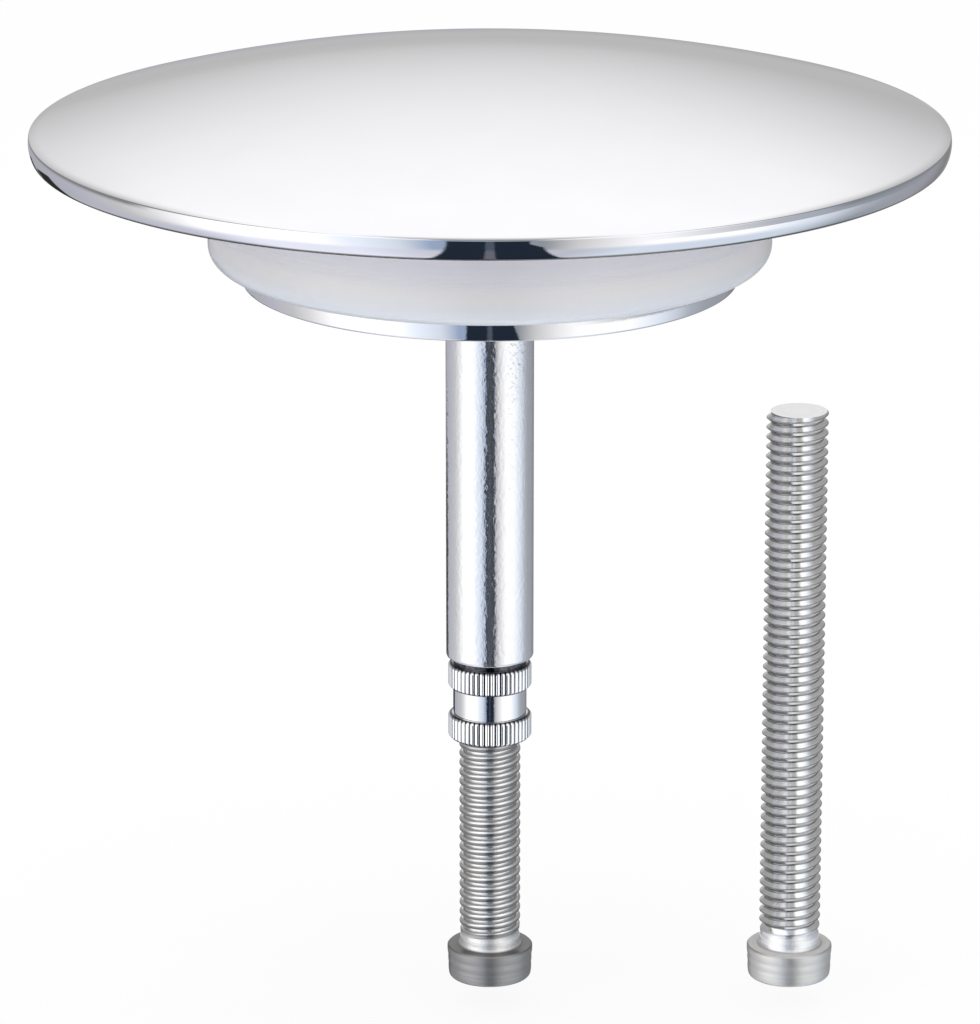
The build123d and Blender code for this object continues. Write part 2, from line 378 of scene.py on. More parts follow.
class Nodes:
    """Short ways to add and link the nodes of one tree."""

    def __init__(self, tree):
        self.tree = tree

    def add(self, kind, **settings):
        node = self.tree.nodes.new(kind)
        for name, value in settings.items():
            setattr(node, name, value)
        return node

    def link(self, source, target):
        self.tree.links.new(source, target)

    def feed(self, socket, value):
        """Link a socket to a socket, or set its value."""
        if isinstance(value, bpy.types.NodeSocket):
            self.link(value, socket)
        else:
            socket.default_value = value

    def maths(self, operation, first, second=0.0, clamp=False):
        node = self.add("ShaderNodeMath", operation=operation, use_clamp=clamp)
        self.feed(node.inputs[0], first)
        self.feed(node.inputs[1], second)
        return node.outputs[0]

    def times(self, *values):
        """Product of the values."""
        return reduce(lambda first, second: self.maths("MULTIPLY", first, second), values)

    def remap(self, value, low, high, to_low=0.0, to_high=1.0, smoothly=False):
        node = self.add("ShaderNodeMapRange")
        if smoothly:
            node.interpolation_type = "SMOOTHSTEP"
        self.feed(node.inputs["Value"], value)
        for name, number in zip(("From Min", "From Max", "To Min", "To Max"), (low, high, to_low, to_high)):
            self.feed(node.inputs[name], number)
        return node.outputs["Result"]

    def blend(self, share, first, second):
        """Mix of two colours, each a socket or plain numbers."""
        node = self.add("ShaderNodeMix", data_type="RGBA")
        self.feed(node.inputs["Factor"], share)
        for socket, colour in zip(node.inputs[6:8], (first, second)):
            self.feed(socket, colour if isinstance(colour, bpy.types.NodeSocket) else rgba(colour))
        return node.outputs[2]

    def noise(self, vector, scale, detail=2.0, roughness=0.5):
        node = self.add("ShaderNodeTexNoise")
        given = {"Vector": vector, "Scale": scale, "Detail": detail, "Roughness": roughness}
        for name, value in given.items():
            self.feed(node.inputs[name], value)
        return node.outputs["Fac"]

    def ramp(self, value, stops):
        """Colour ramp from (place, colour) stops."""
        node = self.add("ShaderNodeValToRGB")
        elements = node.color_ramp.elements
        while len(elements) < len(stops):
            elements.new(0.5)
        for element, (place, colour) in zip(elements, stops):
            element.position = place
            element.color = rgba(colour)
        self.link(value, node.inputs["Fac"])
        return node.outputs["Color"]


def rgba(colour):
    """A colour with full alpha."""
    return (*colour, 1)


def grey(level, tint=(1, 1, 1)):
    """A grey of this level with a tint, or a colour dimmed to this share."""
    return tuple(level * channel for channel in tint)


def new_group(name, inputs, outputs):
    """Empty shader node group with named sockets: {name: default} in, names of numbers out."""
    tree = bpy.data.node_groups.new(name, "ShaderNodeTree")
    for label, default in inputs.items():
        kind = "NodeSocketVector" if isinstance(default, tuple) else "NodeSocketFloat"
        socket = tree.interface.new_socket(label, in_out="INPUT", socket_type=kind)
        socket.default_value = default
    for label in outputs:
        tree.interface.new_socket(label, in_out="OUTPUT", socket_type="NodeSocketFloat")
    nodes = Nodes(tree)
    return nodes, nodes.add("NodeGroupInput").outputs, nodes.add("NodeGroupOutput").inputs


def axis_distance(nodes, centre=(0.0, 0.0, 0.0)):
    """Distance from an upright axis, and height, of the shaded point."""
    place = nodes.add("ShaderNodeTexCoord").outputs["Object"]
    moved = nodes.add("ShaderNodeVectorMath", operation="SUBTRACT")
    nodes.link(place, moved.inputs[0])
    nodes.feed(moved.inputs[1], centre)
    parts = nodes.add("ShaderNodeSeparateXYZ")
    nodes.link(moved.outputs[0], parts.inputs[0])
    x_squared = nodes.maths("POWER", parts.outputs[0], 2.0)
    y_squared = nodes.maths("POWER", parts.outputs[1], 2.0)
    return nodes.maths("SQRT", nodes.maths("ADD", x_squared, y_squared)), parts.outputs[2]


def turning_marks_group():
    """Fine lines left by a lathe: they run round the axis on sides and faces alike."""
    settings = {"Centre": (0.0, 0.0, 0.0), "Lines per metre": 9000.0}
    nodes, given, out = new_group("turning marks", settings, ["Height", "Mask"])
    across, height = axis_distance(nodes, given["Centre"])
    lines = nodes.add("ShaderNodeCombineXYZ")
    for place, axis in enumerate((across, height)):
        nodes.link(nodes.times(axis, given["Lines per metre"]), lines.inputs[place])
    marks = nodes.noise(lines.outputs[0], 1.0, 3.0, 0.6)
    nodes.link(marks, out["Height"])
    nodes.link(nodes.remap(marks, 0.35, 0.65), out["Mask"])
    return nodes.tree


def fine_grain_group():
    """Tiny uneven grain of plating or steel, as a height."""
    nodes, given, out = new_group("fine grain", {"Scale": 4000.0}, ["Height"])
    place = nodes.add("ShaderNodeTexCoord").outputs["Object"]
    nodes.link(nodes.noise(place, given["Scale"], 3.0, 0.6), out["Height"])
    return nodes.tree


def smudges_group():
    """Soft patches, as handling and cleaning leave them."""
    nodes, given, out = new_group("smudges", {"Scale": 180.0, "Spread": 0.15}, ["Mask"])
    place = nodes.add("ShaderNodeTexCoord").outputs["Object"]
    patches = nodes.noise(place, given["Scale"], 4.0, 0.55)
    low = nodes.maths("SUBTRACT", 0.5, given["Spread"])
    high = nodes.maths("ADD", 0.5, given["Spread"])
    nodes.link(nodes.remap(patches, low, high, smoothly=True), out["Mask"])
    return nodes.tree


SHARED_EFFECTS = {
    "turning marks": turning_marks_group,
    "fine grain": fine_grain_group,
    "smudges": smudges_group,
}


def use_group(nodes, name, **values):
    """Place a shared effect, built when first asked for, in a material with its own values."""
    tree = bpy.data.node_groups.get(name) or SHARED_EFFECTS[name]()
    node = nodes.add("ShaderNodeGroup", node_tree=tree)
    for label, value in values.items():
        nodes.feed(node.inputs[label.replace("_", " ")], value)
    return node.outputs


def new_material(name, **constants):
    """A material whose shader has these constants on its own sockets."""
    material = bpy.data.materials.new(name)
    material.use_nodes = True
    nodes = Nodes(material.node_tree)
    shader = material.node_tree.nodes["Principled BSDF"]
    for label, value in constants.items():
        shader.inputs[label.replace("_", " ")].default_value = value
    return material, nodes, shader


def add_bump(nodes, shader, height, strength, distance=GRAIN_DEPTH):
    """Let a height tilt the shader's normal."""
    bump = nodes.add("ShaderNodeBump")
    bump.inputs["Strength"].default_value = strength
    bump.inputs["Distance"].default_value = distance
    nodes.link(height, bump.inputs["Height"])
    nodes.link(bump.outputs[0], shader.inputs["Normal"])


def add_fine_grain(nodes, shader, strength):
    """Give plating its fine grain."""
    add_bump(nodes, shader, use_group(nodes, "fine grain", Scale=6000.0)["Height"], strength)


def plating_material(name, metallic=1.0, mark_scale=240.0, mark_spread=0.3, dull_share=0.985, roughest=0.035):
    """Polished plating with a trace of cleaning marks."""
    colour = sizes().finishes.chrome
    material, nodes, shader = new_material(name, Metallic=metallic)
    marks = use_group(nodes, "smudges", Scale=mark_scale, Spread=mark_spread)["Mask"]
    nodes.link(nodes.blend(marks, colour, grey(dull_share, colour)), shader.inputs["Base Color"])
    nodes.link(nodes.remap(marks, 0.0, 1.0, 0.02, roughest), shader.inputs["Roughness"])
    return material, nodes, shader


def lid_material(rim_low_z, land_r):
    """Polished plating, with painted shade along the sheet's lower edge."""
    lid = sizes().lid
    material, nodes, shader = plating_material("lid plating")
    add_fine_grain(nodes, shader, 0.05)
    across, height = axis_distance(nodes)
    # Painted shade: the rim's foot is darkened towards the painted shade colour.
    rim_shade_z = rim_low_z + lid.rim_shade
    low = nodes.remap(height, rim_shade_z + lid.rim_shade_fade, rim_shade_z)
    in_rim_shade = nodes.times(low, nodes.remap(across, land_r, land_r + lid.rim_land * 0.4))
    plating = shader.inputs["Base Color"].links[0].from_socket
    nodes.link(nodes.blend(in_rim_shade, plating, sizes().finishes.rim_shade), shader.inputs["Base Color"])
    return material


def stem_material():
    """Plating over a drawn tube: a coarse grain frays the edges of what it mirrors, under a faint haze."""
    grains_per_metre = (3600, 3600, 2600)
    grain_depth = 0.035 * MM
    material, nodes, shader = plating_material("stem plating", 0.93, 700.0, 0.2, 0.97, 0.04)
    place = nodes.add("ShaderNodeTexCoord").outputs["Object"]
    stretched = nodes.add("ShaderNodeMapping")
    stretched.inputs["Scale"].default_value = grains_per_metre
    nodes.link(place, stretched.inputs["Vector"])
    add_bump(nodes, shader, nodes.noise(stretched.outputs[0], 1.0), 0.6, grain_depth)
    return material


def knurled_material(nut, land_z):
    """Plating that is satin on the teeth and bright on the waist, with painted shade in the grooves and under
    the stem.
    """
    finishes = sizes().finishes
    edge = 0.04 * MM
    gap = 0.25 * MM
    gap_fade = 0.13 * MM
    material, nodes, shader = new_material("knurled plating", Metallic=1.0)
    across, height = axis_distance(nodes)
    root = nut.tip - nut.groove
    on_teeth = nodes.remap(across, nut.waist + edge, root - edge)
    low_in_groove = nodes.remap(across, root + nut.groove * 0.72, root + nut.groove * 0.35)
    over_rings = nodes.remap(height, land_z - edge / 2, land_z + edge / 2)
    near_land = nodes.remap(across, nut.waist + gap + gap_fade, nut.waist + gap)
    # Painted shade: groove bottoms and the land under the stem are darkened, a little unevenly, where shade
    # falls in these recesses.
    hidden = nodes.maths("MAXIMUM", nodes.times(on_teeth, low_in_groove), nodes.times(over_rings, near_land))
    patches = use_group(nodes, "smudges", Scale=2500.0, Spread=0.3)["Mask"]
    recess_shading = nodes.times(hidden, nodes.remap(patches, 0.0, 1.0, 0.85, 1.0))
    crests = nodes.blend(on_teeth, finishes.chrome, finishes.teeth)
    nodes.link(nodes.blend(recess_shading, crests, finishes.recess_shade), shader.inputs["Base Color"])
    nodes.link(nodes.remap(on_teeth, 0.0, 1.0, 0.03, 0.2), shader.inputs["Roughness"])
    add_fine_grain(nodes, shader, 0.5)
    return material


def silicone_material(low_z, high_z):
    """Milky, slightly see-through silicone with a satin skin and faint level streaks, with painted bluish
    shade at its foot and painted light under the lid.
    """
    finishes = sizes().finishes
    foot_share = 0.26
    lip_share = 0.55
    material, nodes, shader = new_material(
        "seal silicone", IOR=1.41, Subsurface_Weight=0.6, Subsurface_Scale=2 * MM, Specular_IOR_Level=1.0
    )
    shader.inputs["Subsurface Radius"].default_value = (1.0, 1.0, 1.1)
    streaks = use_group(nodes, "turning marks", Lines_per_metre=420.0)["Mask"]
    rise = nodes.remap(axis_distance(nodes)[1], low_z, high_z)
    near_foot = nodes.remap(rise, foot_share, 0.0, smoothly=True)
    near_lip = nodes.remap(rise, lip_share, 1.0)
    milky_and_painted_light = nodes.blend(streaks, finishes.silicone, finishes.silicone_warm)
    # Painted light: bluish shade blended in towards the foot, and a paler colour towards the lip against the
    # lid's shadow.
    milky_and_painted_light = nodes.blend(near_foot, milky_and_painted_light, finishes.silicone_foot_shade)
    milky_and_painted_light = nodes.blend(near_lip, milky_and_painted_light, finishes.silicone_lip_light)
    nodes.link(milky_and_painted_light, shader.inputs["Base Color"])
    nodes.link(nodes.remap(streaks, 0.0, 1.0, 0.3, 0.22), shader.inputs["Roughness"])
    return material


def thread_shade(nodes, across, facing_z, cut):
    """How much of its colour a thread keeps under painted shade: a cut one is dark at crest and root, a
    rolled one underneath.
    """
    screw = sizes().screw
    line = 0.05 * MM
    if cut:
        root_line = screw.root + 0.4 * line
        crest_line = screw.crest - 0.6 * line
        at_root = nodes.remap(across, root_line + line, root_line)
        at_crest = nodes.remap(across, crest_line - line, crest_line, 0.0, 0.8)
        off_tip = nodes.remap(facing_z, 0.95, 0.85)
        dark = nodes.times(nodes.maths("MAXIMUM", at_root, at_crest), off_tip)
        return nodes.remap(dark, 0.0, 1.0, 1.0, 0.3)
    in_valley = nodes.remap(across, screw.root + 3 * line, screw.root + line)
    bright = nodes.maths("MAXIMUM", nodes.remap(facing_z, 0.2, 0.42), in_valley)
    return nodes.remap(bright, 0.0, 1.0, 0.3, 1.0)


def steel_material(name, head_top_z, centre_x, cut, **finish):
    """Turned screw steel: bright thread with painted shade, duller head and neck, painted shade on the head's
    top faces, and fine lines round the axis.
    """
    centre = (centre_x, 0, 0)
    head_fade = 0.2 * MM
    neck_z = head_top_z + 1.0 * MM
    neck_fade = 0.6 * MM
    torn_z = head_top_z + 0.9 * MM
    torn_fade = 0.9 * MM
    material, nodes, shader = new_material(name, Metallic=finish["metallic"])
    lines = use_group(nodes, "turning marks", Centre=centre)
    patches = use_group(nodes, "smudges", Scale=900.0, Spread=0.25)["Mask"]
    across, height = axis_distance(nodes, centre)
    off_head = nodes.remap(height, head_top_z, head_top_z + head_fade)
    on_head = nodes.maths("SUBTRACT", 1.0, off_head)
    by_neck = nodes.remap(height, neck_z + neck_fade, neck_z)
    facing = nodes.add("ShaderNodeSeparateXYZ")
    nodes.link(nodes.add("ShaderNodeNewGeometry").outputs["Normal"], facing.inputs[0])
    facing_z = facing.outputs[2]
    # Painted shade on the thread, faded out over the neck.
    kept = nodes.maths("MAXIMUM", thread_shade(nodes, across, facing_z, cut), by_neck)
    colour = nodes.blend(kept, grey(0), finish["thread"])
    colour = nodes.blend(on_head, colour, finish["head"])
    # Painted shade: the head's upward faces keep only a share of the head colour.
    on_top = nodes.times(on_head, nodes.remap(facing_z, 0.7, 0.9))
    colour = nodes.blend(on_top, colour, grey(finish["top_shade_share"], finish["head"]))
    colour = nodes.blend(nodes.times(lines["Mask"], finish["line_shade"]), colour, grey(0))
    nodes.link(colour, shader.inputs["Base Color"])
    rough = nodes.remap(by_neck, 0.0, 1.0, finish["roughness"], finish["head_roughness"])
    nodes.link(nodes.maths("ADD", rough, nodes.times(patches, 0.06)), shader.inputs["Roughness"])
    at_neck = nodes.times(nodes.remap(height, torn_z + torn_fade, torn_z), off_head)
    fine = use_group(nodes, "fine grain", Scale=5000.0)["Height"]
    torn = nodes.times(fine, nodes.remap(at_neck, 0.0, 1.0, 1.0, 5.0))
    add_bump(nodes, shader, nodes.maths("ADD", lines["Height"], torn), 0.4)
    return material


def cap_z(apex_z, edge_r, edge_z, r):
    """Height at distance r of the spherical cap through an apex and an edge circle."""
    rise = apex_z - edge_z
    radius = (edge_r**2 + rise**2) / (2 * rise)
    return apex_z - radius + sqrt(radius**2 - r**2)


class MakeLid(bpy.types.Operator):
    """Turn the dished lid with its swollen rim"""

    bl_idname = "drain_stopper.make_lid"
    bl_label = "Make lid"

    def execute(self, context):
        """Draw the lid's section and turn it."""
        lid = sizes().lid
        outer_r = lid_box[1].x
        apex_z = lid_box[1].z
        under_z = apex_z - lid.wall
        top_r = outer_r - lid.rim_bulge * 0.15
        top_z = apex_z - lid.rise
        low_r = outer_r - lid.rim_bulge / 2 - lid.rim_draw_in
        low_z = top_z - lid.rim_height
        land_r = low_r - lid.rim_land
        rounding = lid.rim_rounding
        shoulder = rounding / 2
        dome_r = top_r - shoulder
        dome_middle = (top_r / 2, cap_z(apex_z, top_r, top_z, top_r / 2))
        dome_end = (dome_r, cap_z(apex_z, top_r, top_z, dome_r))
        shoulder_middle = (top_r - shoulder * 0.3, top_z - shoulder * 0.3)
        swell = (outer_r - lid.rim_bulge * 0.05, top_z - lid.rim_height * 0.4)
        side_end = (low_r + rounding * 1.1, low_z + rounding)
        corner_middle = (low_r + rounding * 0.45, low_z + rounding * 0.32)
        under_middle = (land_r / 2, cap_z(under_z, land_r, low_z, land_r / 2))
        outline = drawn(
            (0, apex_z),
            (dome_middle, dome_end, 48),
            (shoulder_middle, (top_r, top_z - shoulder), 8),
            (swell, side_end, 16),
            (corner_middle, (low_r - rounding, low_z), 8),
            (land_r, low_z),
            (under_middle, (0, under_z), 32),
        )
        piece = lathe("lid_shell", outline, sides=256)
        finish_piece(piece, "lid", "stopper", lid_material(low_z, land_r))
        piece.visible_glossy = False
        return {"FINISHED"}


class MakeSeal(bpy.types.Operator):
    """Turn the silicone cup under the lid"""

    bl_idname = "drain_stopper.make_seal"
    bl_label = "Make seal"

    def execute(self, context):
        """Draw the cup's section and turn it."""
        seal = sizes().seal
        low, high = seal_box
        outer_r = high.x
        inner_r = outer_r - seal.wall
        web_top = low.z + seal.web
        corners = [
            (seal.hole, low.z, 0),
            (outer_r, low.z, seal.corner),
            (outer_r, low.z + seal.bead_low, 0),
            (outer_r - seal.bead_depth, (seal.bead_low + seal.bead_high) / 2 + low.z, 0),
            (outer_r, low.z + seal.bead_high, 0),
            (outer_r, high.z, seal.lip_rounding),
            (inner_r, high.z, seal.lip_rounding),
            (inner_r, web_top, seal.inner_rounding),
            (seal.hole, web_top, 0),
        ]
        piece = lathe("seal_cup", closed(rounded(corners, steps=12)), sides=224)
        finish_piece(piece, "seal_ring", "stopper", silicone_material(low.z, high.z))
        return {"FINISHED"}


class MakeRetainer(bpy.types.Operator):
    """Turn the plated disc under the seal"""

    bl_idname = "drain_stopper.make_retainer"
    bl_label = "Make retainer"

    def execute(self, context):
        """Draw the disc's section and turn it."""
        seal = sizes().seal
        outline = ring_outline(seal.hole, retainer_box, seal.disc_edge, seal.disc_edge, steps=8)
        material, nodes, shader = plating_material("disc plating")
        add_fine_grain(nodes, shader, 0.1)
        piece = lathe("retainer_disc", outline, sides=224)
        finish_piece(piece, "seal_retainer", "stopper", material)
        return {"FINISHED"}


class MakeStem(bpy.types.Operator):
    """Turn the stem's tube"""

    bl_idname = "drain_stopper.make_stem"
    bl_label = "Make stem"

    def execute(self, context):
        """Draw the tube's section and turn it."""
        stem = sizes().stem
        outline = ring_outline(stem.bore, stem_box, stem.end_rounding, 0, steps=12)
        piece = lathe("stem_tube", outline)
        finish_piece(piece, "stem", "stopper", stem_material())
        return {"FINISHED"}


def tooth_radii(nut, limit):
    """Radii at the six places of one tooth's pitch, from groove to crest and back, cut at a limit."""
    shoulder = nut.tip - nut.crown
    near_crest = nut.tip - nut.crown / 4
    root = nut.tip - nut.groove
    places = (root, shoulder, near_crest, nut.tip, near_crest, shoulder)
    return [min(radius, limit) for radius in places]


def ring_up(rise, radii):
    """Extrude the selected ring upwards and set its vertices to the radii, taken in turn round it."""
    bpy.ops.mesh.extrude_edges_move(TRANSFORM_OT_translate={"value": (0, 0, rise)})
    shape_ring(radii)


def shape_ring(radii):
    """Set the selected ring's vertices to the radii, taken in turn round the axis."""
    mesh = bpy.context.object.data
    shape = bmesh.from_edit_mesh(mesh)
    chosen = [vertex for vertex in shape.verts if vertex.select]
    count = len(chosen)
    for vertex in chosen:
        place = round(atan2(vertex.co.y, vertex.co.x) / (2 * pi) * count) % count
        radius = radii[place % len(radii)]
        vertex.co.xy = vertex.co.xy.normalized() * radius
    bmesh.update_edit_mesh(mesh)


class MakeNut(bpy.types.Operator):
    """Build the knurled lock nut, ring by ring from its foot"""

    bl_idname = "drain_stopper.make_nut"
    bl_label = "Make lock nut"

    def execute(self, context):
        """Extrude one ring of edges up the nut's outside and down its bore."""
        nut = sizes().nut
        low, high = nut_box
        waist_height = high.z - low.z - nut.land - 2 * nut.ring_height
        full = tooth_radii(nut, nut.tip)
        ends = tooth_radii(nut, nut.tip - nut.edge)
        waist = [nut.waist]
        bore = [sizes().stem.bore]
        straight = nut.ring_height - 2 * nut.edge
        ring = [(0, ends), (nut.edge, full), (straight, full), (nut.edge, ends), (0, waist)]
        top = [(nut.land, waist), (0, bore), (low.z - high.z, bore)]
        deselect()
        bpy.ops.mesh.primitive_circle_add(
            vertices=nut.teeth * len(full), radius=bore[0], location=(0, 0, low.z)
        )
        piece = bpy.context.object
        piece.name = "knurled_nut"
        bpy.ops.object.transform_apply(location=True)
        edit_all()
        shape_ring(bore)
        for rise, radii in [*ring, (waist_height, waist), *ring, *top]:
            ring_up(rise, radii)
        bpy.ops.object.mode_set(mode="OBJECT")
        tidy_shell(piece)
        finish_piece(piece, "lock_nut", "nut", knurled_material(nut, high.z - nut.land))
        return {"FINISHED"}


def thread_outline(screw, cut, foot_z):
    """Section of one turn of thread: a fat round lobe where rolled, a V with narrow flats where cut."""
    depth = screw.crest - screw.root
    middle_z = foot_z + screw.pitch / 2
    if cut:
        flat = screw.pitch * 0.06
        valley = screw.pitch * 0.1
        bevel = depth * 0.1
        lobe = [
            (screw.root, foot_z + valley / 2),
            (screw.crest - bevel, middle_z - flat / 2 - bevel / 2),
            (screw.crest, middle_z - flat / 4),
            (screw.crest, middle_z + flat / 4),
            (screw.crest - bevel, middle_z + flat / 2 + bevel / 2),
            (screw.root, foot_z + screw.pitch - valley / 2),
        ]
    else:
        half_width = screw.pitch * 0.39
        steps = 18
        angles = [pi * step / steps for step in range(steps + 1)]
        lobe = [(screw.root + depth * sin(angle), middle_z - half_width * cos(angle)) for angle in angles]
    return [(screw.root, foot_z)] + lobe + [(screw.root, foot_z + screw.pitch)]


def make_thread(name, foot_z, tip_z, cut):
    """Right-handed thread up to the screw's tip, cut level at both ends and run out over the neck."""
    screw = sizes().screw
    spare_turns = 3
    turns = ceil((tip_z - foot_z) / screw.pitch) + spare_turns
    start_share = screw.start_share if cut else 0
    start_z = tip_z - (turns - 1 + start_share) * screw.pitch
    piece = draw_outline(name, thread_outline(screw, cut, start_z))
    turn(piece, sides=72, rise=screw.pitch, turns=turns)
    cut_level(piece, foot_z, True)
    cut_level(piece, tip_z, False)
    run_out_height = screw.run_out * screw.pitch
    for vertex in piece.data.vertices:
        reach = hypot(vertex.co.x, vertex.co.y)
        filled = 1 - (vertex.co.z - foot_z) / run_out_height
        if filled <= 0 or reach < screw.root * 0.9:
            continue
        least = screw.root + (screw.neck - screw.root) * min(1, filled)
        most = screw.crest - (screw.crest - screw.neck + screw.line_depth) * min(1, filled * 1.6)
        kept = max(min(reach, most), min(least, most))
        vertex.co.x *= kept / reach
        vertex.co.y *= kept / reach
    tidy_shell(piece)
    return piece


def head_outline(foot_z, outer_r):
    """Section of head and neck: tapered side with two fine turned lines, flared neck."""
    screw = sizes().screw
    foot_r = screw.head_foot
    top_z = foot_z + screw.head_height
    neck_z = top_z + screw.neck_height
    depth = screw.line_depth
    steps = 6
    bend = screw.head_rounding * (1 - cos(pi / 4))
    corner = (foot_r, foot_z + screw.head_rounding)
    bands = []
    line_shares = (0.42, 0.66)
    for share in (*line_shares, 1):
        inset, drop = (depth, 0) if share in line_shares else (0, screw.head_edge)
        end = (foot_r + (outer_r - foot_r) * share - inset, foot_z + screw.head_height * share - drop)
        middle = ((corner[0] + end[0]) / 2 + depth, (corner[1] + end[1]) / 2)
        bands.append((middle, end, steps))
        corner = end
    flare_middle = (screw.neck + screw.neck_flare * 0.3, top_z + screw.flare_height * 0.3)
    return drawn(
        (0, foot_z),
        (foot_r - screw.head_rounding, foot_z),
        ((foot_r - bend, foot_z + bend), (foot_r, foot_z + screw.head_rounding), steps),
        *bands,
        (outer_r - screw.head_edge, top_z),
        (screw.neck + screw.neck_flare, top_z),
        (flare_middle, (screw.neck, top_z + screw.flare_height), steps),
        (screw.neck, neck_z),
        (0, neck_z),
    )


def cut_socket(piece, foot_z):
    """Cut the hexagon socket into the head's foot."""
    screw = sizes().screw
    deselect()
    corner_r = screw.socket_flats / 2 / cos(pi / 6)
    bpy.ops.mesh.primitive_cylinder_add(
        vertices=6, radius=corner_r, depth=2 * screw.socket_depth, location=(0, 0, foot_z)
    )
    cutter = bpy.context.object
    cut = piece.modifiers.new("socket", "BOOLEAN")
    cut.operation = "DIFFERENCE"
    cut.solver = "EXACT"
    cut.object = cutter
    apply_modifier(piece, cut)
    bpy.data.objects.remove(cutter)


def make_screw(name, box, centre_x, cut, **finish):
    """A whole screw, with its head, socket, neck and thread, and its steel."""
    screw = sizes().screw
    low, high = box
    overlap = 0.1 * MM
    piece = lathe(name + "_screw", head_outline(low.z, (high.x - low.x) / 2), sides=128)
    cut_socket(piece, low.z)
    head_top_z = low.z + screw.head_height
    thread = make_thread("thread", head_top_z + screw.neck_height - overlap, high.z, cut)
    select(piece)
    thread.select_set(True)
    bpy.ops.object.join()
    piece.data.transform(piece.matrix_world)
    for vertex in piece.data.vertices:
        vertex.co.x += centre_x
    return piece, steel_material(name + " screw steel", head_top_z, centre_x, cut, **finish)


class MakeAdjustingScrew(bpy.types.Operator):
    """Build the grey screw with rolled thread that is fitted in the stem"""

    bl_idname = "drain_stopper.make_adjusting_screw"
    bl_label = "Make adjusting screw"

    def execute(self, context):
        """Build the screw and finish it."""
        finish = {
            "thread": sizes().finishes.screw_steel,
            "head": sizes().finishes.screw_head_steel,
            "top_shade_share": 0.5,
            "line_shade": 0.2,
            "metallic": 0.8,
            "roughness": 0.15,
            "head_roughness": 0.34,
        }
        piece, steel = make_screw("fitted", screw_box, 0.0, False, **finish)
        finish_piece(piece, "adjusting_screw", "screw", steel)
        return {"FINISHED"}


class MakeSpareScrew(bpy.types.Operator):
    """Build the brighter, longer screw with cut thread that stands beside the stopper"""

    bl_idname = "drain_stopper.make_spare_screw"
    bl_label = "Make spare screw"

    def execute(self, context):
        """Build the screw and finish it."""
        finish = {
            "thread": sizes().finishes.spare_steel,
            "head": sizes().finishes.spare_head_steel,
            "top_shade_share": 0.75,
            "line_shade": 0.12,
            "metallic": 0.82,
            "roughness": 0.12,
            "head_roughness": 0.36,
        }
        middle_x = (spare_box[0].x + spare_box[1].x) / 2
        piece, steel = make_screw("loose", spare_box, middle_x, True, **finish)
        finish_piece(piece, "spare_screw", "spare", steel)
        piece.visible_glossy = False
        return {"FINISHED"}


class DressStud(bpy.types.Operator):
    """Give the hidden stud its turned brass"""

    bl_idname = "drain_stopper.dress_stud"
    bl_label = "Dress lid stud"

    def execute(self, context):
        """Put the brass on the CAD node."""
        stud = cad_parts["lid_stud"]
        colour = sizes().finishes.brass
        finish = {
            "thread": colour,
            "head": colour,
            "top_shade_share": 1.0,
            "line_shade": 0.12,
            "metallic": 1.0,
            "roughness": 0.25,
            "head_roughness": 0.25,
        }
        stud.data.materials.clear()
        stud.data.materials.append(steel_material("stud brass", cad_low.z, 0.0, False, **finish))
        return {"FINISHED"}


def add_camera():
    """Camera at the photograph's viewing angle."""
    studio = sizes().studio
    camera_data = bpy.data.cameras.new("camera")
    camera = bpy.data.objects.new("camera", camera_data)
    bpy.context.scene.collection.objects.link(camera)
    camera.location = (studio.camera_side, -studio.camera_distance, studio.camera_height)
    camera.rotation_euler = (pi / 2 - studio.camera_pitch, 0, 0)
    camera_data.sensor_width = 36
    camera_data.lens = studio.lens
    camera_data.clip_start = 10 * MM
    camera_data.clip_end = 20000 * MM
    bpy.context.scene.camera = camera


def seen_directly(nodes):
    """Masks of the camera's own rays and of mirrored or refracted ones."""
    path = nodes.add("ShaderNodeLightPath").outputs
    return path["Is Camera Ray"], nodes.maths("MAXIMUM", path["Is Glossy Ray"], path["Is Transmission Ray"])


def add_world():
    """White background, a soft room light, and bright and dark zones for the metal to mirror."""
    front_light, back_light = 1.25, 0.78
    side_loss, right_loss = 0.62, 0.05
    world = bpy.data.worlds.new("studio")
    bpy.context.scene.world = world
    world.use_nodes = True
    world.node_tree.nodes.clear()
    nodes = Nodes(world.node_tree)
    parts = nodes.add("ShaderNodeSeparateXYZ")
    nodes.link(nodes.add("ShaderNodeTexCoord").outputs["Generated"], parts.inputs[0])
    x, y, z = parts.outputs
    camera_ray, mirrored = seen_directly(nodes)
    from_middle = nodes.maths("ABSOLUTE", x)
    beside = nodes.maths("ADD", nodes.times(from_middle, side_loss), nodes.times(x, right_loss))
    soft = nodes.maths("SUBTRACT", nodes.remap(y, -0.9, 0.5, front_light, back_light), beside)
    lit = nodes.blend(mirrored, soft, mirrored_room(nodes, x, y, z))
    background = nodes.add("ShaderNodeBackground")
    nodes.link(nodes.blend(camera_ray, lit, grey(1)), background.inputs["Color"])
    output = nodes.add("ShaderNodeOutputWorld")
    nodes.link(background.outputs[0], output.inputs["Surface"])


def by_bearing(nodes, bearing, stops):
    """Colour by bearing in degrees: 0 is in front of the stopper, 90 on its right, 180 behind it."""
    whole_turn = nodes.remap(bearing, -pi, pi)
    return nodes.ramp(whole_turn, [((degree + 180) / 360, grey(*look)) for degree, *look in stops])


def by_elevation(nodes, z, start, end, *span, smoothly=False):
    """0 at one elevation in degrees and 1 at another, or another span between them."""
    return nodes.remap(z, sin(radians(start)), sin(radians(end)), *span, smoothly=smoothly)


